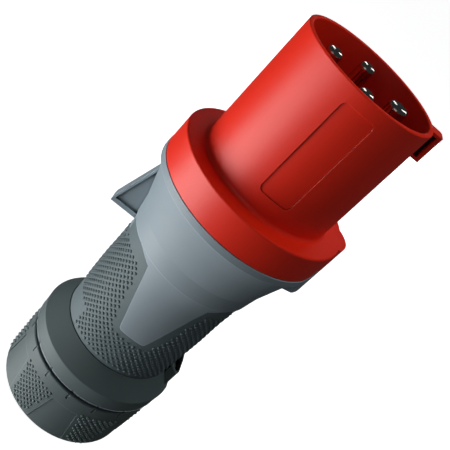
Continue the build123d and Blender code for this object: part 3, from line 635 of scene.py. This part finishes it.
@dataclass
class FootBead:
    """Bead round the collar's foot, cut at each mark and open where the nut lock slides; its pale finish is
    a painted highlight.
    """

    foot_mm: float = 37.8
    feel_mm: float = 41.0
    feel_degrees: float = 15.0
    # Steps out from the collar's radius and up from its foot.
    outline_mm: tuple[tuple[float, float], ...] = ((-0.48, 0.12), (0.08, 0.86), (-0.10, 1.15), (-0.90, 0.60))
    marks: int = 16
    first_mark: float = -94.4
    mark_gap: float = 1.8
    slider_half_mm: float = 6.8
    steps: int = 10

    def open_at_slider(self, mesh: bmesh.types.BMesh) -> None:
        """Cut the bead away where the nut lock slides, and close the cut ends.

        Args:
            mesh: The whole bead.
        """
        half = self.slider_half_mm * MM
        for side in (-half, half):
            bmesh.ops.bisect_plane(mesh, geom=whole(mesh), plane_co=(side, 0, 0), plane_no=(1, 0, 0))
        middles = [(face, face.calc_center_median()) for face in mesh.faces]
        under = [face for face, middle in middles if abs(middle.x) < half and middle.y < 0]
        bmesh.ops.delete(mesh, geom=under, context="FACES")
        bmesh.ops.holes_fill(mesh, edges=[e for e in mesh.edges if e.is_boundary], sides=0)
        bmesh.ops.recalc_face_normals(mesh, faces=mesh.faces)

    def make(self, material: bpy.types.Material) -> bpy.types.Object:
        """Spin one stretch between two marks and repeat it round the collar.

        Args:
            material: Finish of the bead.

        Returns:
            The finished piece.
        """
        foot = Surface("gland_collar").radius(self.feel_degrees, self.feel_mm * MM) / MM
        pitch = 360 / self.marks
        mesh = bmesh.new()
        end = profile(mesh, [((foot + x) * MM, (self.foot_mm + z) * MM) for x, z in self.outline_mm])
        bmesh.ops.spin(mesh, geom=end, cent=(0, 0, 0), axis=(0, 0, 1),
                       angle=math.radians(pitch - self.mark_gap), steps=self.steps, use_duplicate=False)
        bmesh.ops.recalc_face_normals(mesh, faces=mesh.faces)
        start = Matrix.Rotation(math.radians(self.first_mark + self.mark_gap / 2), 3, "Z")
        bmesh.ops.rotate(mesh, verts=mesh.verts, cent=(0, 0, 0), matrix=start)
        stretch = whole(mesh)
        for place in range(1, self.marks):
            copy = bmesh.ops.duplicate(mesh, geom=stretch)
            bmesh.ops.rotate(mesh, verts=corners_of(copy["geom"]), cent=(0, 0, 0),
                             matrix=Matrix.Rotation(math.radians(place * pitch), 3, "Z"))
        self.open_at_slider(mesh)
        piece = piece_from(mesh, "collar_foot_bead", material)
        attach(piece, "plug_body")
        return piece


# Sub-assemblies
@dataclass
class SleeveFront:
    """Red sleeve shroud with the contact carrier and its four pins."""

    pins: tuple[str, ...] = PINS
    clamps: tuple[str, ...] = ("earth_clamp", "phase_clamp_l1", "phase_clamp_l2", "phase_clamp_l3")
    screws: tuple[str, ...] = ("clamp_screws", "carrier_screws")
    slot_shade: KeySlotShade = field(default_factory=KeySlotShade)

    def make(self) -> None:
        """Dress the front of the plug and put painted-shade plates in the slots of its key."""
        dress("sleeve_shroud", Finishes.RED_SLEEVE.value.make())
        dress("contact_carrier", Finishes.CARRIER.value.make())
        # Painted shade: black rubber plates darken the floors of the key's slots.
        self.slot_shade.make(Finishes.SEAL.value.make())
        pin = Finishes.PIN.value.make()
        for name in self.pins:
            dress(name, pin)
        zinc = Finishes.CLAMP.value.make()
        for name in self.clamps + self.screws:
            dress(name, zinc)
        log.info("sleeve front dressed")


@dataclass
class HousingAndGrip:
    """Grey rear housing with the soft grip moulded round it."""

    # Smooth fields: one at the grip's foot, and two steps of another above the nut lock's guide.
    grip: NubField = field(default_factory=lambda: NubField(
        node="grip_sleeve", name="grip_nubs", body="plug_body", slot="soft_grip",
        low_mm=61.05, high_mm=121.0, feel_degrees=47.0, per_turn=60, row_mm=1.76, phase_degrees=1.0,
        bare=(BareField(56.0, 132.5, 70.5), BareField(253.0, 287.0, 67.2), BareField(257.5, 282.5, 72.6))))

    def make(self) -> None:
        """Dress the housing and its seals and build the nubs of the grip."""
        dress("rear_housing", Finishes.GREY_HOUSING.value.make())
        soft = Finishes.GRIP.value.make()
        dress("grip_sleeve", soft)
        seal = Finishes.SEAL.value.make()
        dress("front_seal", seal)
        dress("gland_seal", seal)
        self.grip.make(soft)
        log.info("housing and grip dressed")


@dataclass
class GlandEnd:
    """Gland collar, nut lock, gland nut and what clamps the cable."""

    nut: NubField = field(default_factory=lambda: NubField(
        node="gland_nut", name="nut_nubs", body="turning_nut", slot="dark_nut",
        low_mm=4.05, high_mm=27.2, feel_degrees=30.0, per_turn=72, row_mm=1.625,
        side_margin_mm=0.9, low_margin_mm=1.0, high_margin_mm=1.0, sectors=6))
    thread: StubThread = field(default_factory=StubThread)
    bead: FootBead = field(default_factory=FootBead)

    def make(self) -> None:
        """Dress the gland end and build its thread, its bead and the nubs of the nut."""
        collar = Finishes.COLLAR.value.make()
        dress("gland_collar", collar)
        self.thread.make(collar)
        # Painted highlight: the bead's pale finish stands for light caught at the collar's foot.
        self.bead.make(Finishes.FOOT_BEAD_HIGHLIGHT.value.make())
        nut = Finishes.NUT.value.make()
        dress("gland_nut", nut)
        dress("lock_slider", Finishes.SLIDER.value.make())
        ring = Finishes.RING.value.make()
        dress("slip_ring", ring)
        dress("clamping_cage", ring)
        self.nut.make(nut)
        log.info("gland end dressed")


# Studio
@dataclass(frozen=True)
class Lamp:
    """One soft light that looks at the plug's middle: angles in degrees, lengths in metres."""

    name: str
    azimuth: float
    elevation: float
    distance: float
    size: float
    watts: float
    height: float = 0.0  # the same as the size where it is zero
    gloss: bool = True
    only: tuple[str, ...] = ()  # the nodes that it lights, or none named where it lights all

    def hang(self) -> None:
        """Make the light and hang it."""
        data = bpy.data.lights.new(self.name, "AREA")
        data.shape = "RECTANGLE"
        data.size = self.size
        data.size_y = self.height or self.size
        data.energy = self.watts
        turn, rise = math.radians(self.azimuth), math.radians(self.elevation)
        way = Vector((math.cos(turn) * math.cos(rise), math.sin(turn) * math.cos(rise), math.sin(rise)))
        lamp = bpy.data.objects.new(self.name, data)
        lamp.location = Vector((0, 0, PLUG_MIDDLE_MM * MM)) + way * self.distance
        lamp.rotation_euler = (-way).to_track_quat("-Z", "Y").to_euler()
        lamp.visible_glossy = self.gloss
        if self.only:
            lit = bpy.data.collections.new(self.name)
            for node in self.only:
                lit.objects.link(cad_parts[node])
            lamp.light_linking.receiver_collection = lit
        bpy.context.scene.collection.objects.link(lamp)


@dataclass
class Studio:
    """Pale floor and backdrop, soft lights and the camera."""

    camera_place: tuple[float, float, float] = (-0.31389, 0.06672, 0.31681)
    camera_pitch: float = -28.1
    camera_roll: float = 44.9
    camera_yaw: float = -0.0016  # in radians, off the plug's axis
    focal_mm: float = 60.72
    film_mm: float = 36.0
    nearest_mm: float = 10.0
    floor_mm: float = -7.0  # the unscrewed nut reaches 6 mm below the plug's own foot
    floor_radius: float = 9.0
    floor_segments: int = 96
    wall_height: float = 7.0
    paint: FloorPaint = FloorPaint("pale_floor_paint", "F4F4F4", 0.9)
    sky: str = "E8F4F6"
    sky_strength: float = 0.035
    # Each lamp's name, azimuth, elevation, distance, size and watts.
    lamps: tuple[Lamp, ...] = (
        Lamp("key_light", 110.0, -29.0, 0.9, 0.75, 10.0),
        Lamp("fill_light", 150.0, 10.0, 1.3, 0.8, 1.1),
        Lamp("top_light", 275.0, 74.0, 0.9, 0.35, 2.5, gloss=False),
        Lamp("side_fill", 238.0, 20.0, 1.3, 0.7, 0.5, gloss=False),
        Lamp("back_fill", -12.0, 4.0, 1.1, 0.7, 5.0, gloss=False),
        Lamp("left_pin_strip", 10.0, 44.0, 0.8, 0.14, 0.7, height=0.42, only=PINS),
        Lamp("right_pin_strip", -38.0, 44.0, 0.8, 0.14, 0.7, height=0.42, only=PINS),
        Lamp("floor_bounce", 125.0, -78.0, 0.8, 0.8, 0.7),
    )

    def floor(self) -> None:
        """Lay a large pale floor under the plug and turn its rim up into a wall."""
        mesh = bmesh.new()
        bmesh.ops.create_circle(mesh, cap_ends=True, segments=self.floor_segments, radius=self.floor_radius,
                                matrix=Matrix.Translation((0, 0, self.floor_mm * MM)))
        wall = bmesh.ops.extrude_edge_only(mesh, edges=mesh.edges[:])
        bmesh.ops.translate(mesh, vec=(0, 0, self.wall_height), verts=corners_of(wall["geom"]))
        piece = piece_from(mesh, "studio_floor", self.paint.make())
        piece.visible_diffuse = False
        piece.visible_glossy = False
        piece.visible_shadow = False

    def camera(self) -> None:
        """Put the camera at the photograph's place, pitched down and rolled."""
        data = bpy.data.cameras.new("view_camera")
        data.sensor_fit = "HORIZONTAL"
        data.sensor_width = self.film_mm
        data.lens = self.focal_mm
        data.clip_start = self.nearest_mm * MM
        camera = bpy.data.objects.new("view_camera", data)
        place = Vector(self.camera_place)
        ahead = math.atan2(place.y, place.x) + self.camera_yaw
        pitch = math.radians(self.camera_pitch)
        roll = math.radians(self.camera_roll)
        flat = Vector((-math.cos(ahead), -math.sin(ahead), 0.0))
        forward = flat * math.cos(pitch) + Vector((0, 0, 1)) * math.sin(pitch)
        right = flat.cross(Vector((0, 0, 1)))
        up = right.cross(forward)
        image_right = right * math.cos(roll) + up * math.sin(roll)
        image_up = up * math.cos(roll) - right * math.sin(roll)
        turn = Matrix((image_right, image_up, -forward)).transposed().to_4x4()
        camera.matrix_world = Matrix.Translation(place) @ turn
        bpy.context.scene.collection.objects.link(camera)
        bpy.context.scene.camera = camera

    def make(self) -> None:
        """Set up the floor, the lights, the sky and the camera."""
        self.floor()
        for lamp in self.lamps:
            lamp.hang()
        world = bpy.data.worlds.new("studio_world")
        world.use_nodes = True
        background = world.node_tree.nodes["Background"]
        background.inputs["Color"].default_value = linear(self.sky)
        background.inputs["Strength"].default_value = self.sky_strength
        bpy.context.scene.world = world
        bpy.context.scene.view_settings.view_transform = "Standard"
        self.camera()
        log.info("studio ready")


def main() -> None:
    """Build the plug's looks in order."""
    logging.basicConfig(level=logging.INFO, format="%(name)s: %(message)s")
    Studio().make()
    SleeveFront().make()
    HousingAndGrip().make()
    GlandEnd().make()


if __name__ == "__main__":
    main()
